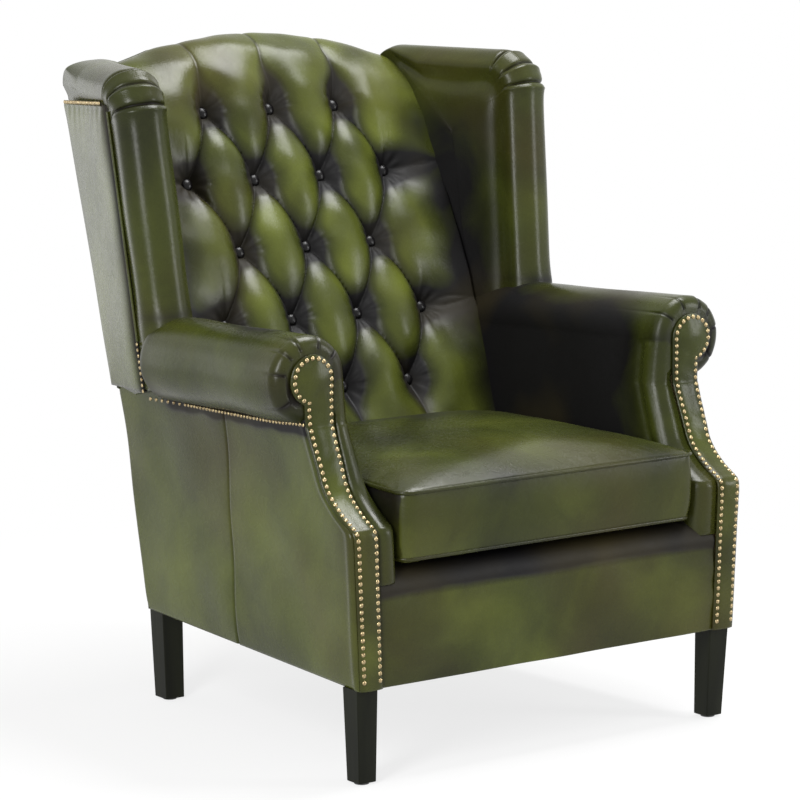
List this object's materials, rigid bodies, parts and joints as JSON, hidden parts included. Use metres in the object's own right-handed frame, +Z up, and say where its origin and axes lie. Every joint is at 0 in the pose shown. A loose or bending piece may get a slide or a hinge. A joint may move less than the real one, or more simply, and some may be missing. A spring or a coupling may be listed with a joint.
{
  "type": "wingback chair",
  "caption": "Leather armchair with a tall deep-buttoned back between flared wings, rolled arms, a loose seat cushion and square tapered legs.",
  "frame": {"origin": "on the floor, under the middle of the chair's outline", "axes": "+Z up; the chair faces -Y; +X is to the right for someone looking at its front"},
  "size_m": [0.8538, 0.85, 1.041],
  "materials": {
    "green_leather": "antiqued glossy green leather",
    "button_leather": "dark covered buttons",
    "black_wood": "black satin stain",
    "hardwood": "sawn beech",
    "nylon": "moulded",
    "steel": "zinc plated",
    "webbing": "woven elastic webbing",
    "lining_cloth": "black lining cloth",
    "tack_board": "fibre board"
  },
  "bodies": {
    "chair": {"arm_board_left": "tack_board", "arm_board_right": "tack_board", "arm_facing_left": "green_leather", "arm_facing_right": "green_leather", "arm_pad_left": "green_leather", "arm_pad_right": "green_leather", "arm_rail_left": "hardwood", "arm_rail_right": "hardwood", "back_buttons": "button_leather", "back_pad": "green_leather", "back_post_left": "hardwood", "back_post_right": "hardwood", "back_rail": "hardwood", "back_web": "webbing", "corner_blocks": "hardwood", "dust_cover": "lining_cloth", "foot_glides": "nylon", "front_border": "green_leather", "front_leg_left": "black_wood", "front_leg_right": "black_wood", "front_post_left": "hardwood", "front_post_right": "hardwood", "front_rail": "hardwood", "leg_bolts": "steel", "mid_back_rail": "hardwood", "outside_back": "green_leather", "outside_wing_left": "green_leather", "outside_wing_right": "green_leather", "rear_leg_left": "black_wood", "rear_leg_right": "black_wood", "seat_deck": "lining_cloth", "seat_web": "webbing", "side_panel_front_left": "green_leather", "side_panel_front_right": "green_leather", "side_panel_rear_left": "green_leather", "side_panel_rear_right": "green_leather", "side_rail_left": "hardwood", "side_rail_right": "hardwood", "top_back_rail": "hardwood", "wing_pad_left": "green_leather", "wing_pad_right": "green_leather", "wing_post_left": "hardwood", "wing_post_right": "hardwood", "wing_rail_left": "hardwood", "wing_rail_right": "hardwood"},
    "cushion": {"seat_cushion": "green_leather", "cushion_piping": "green_leather"}
  },
  "joints": [
    {"name": "cushion_lift", "type": "slide", "parent": "chair", "child": "cushion", "axis": [0, 0, 1], "range_m": [0, 0.36]}
  ]
}
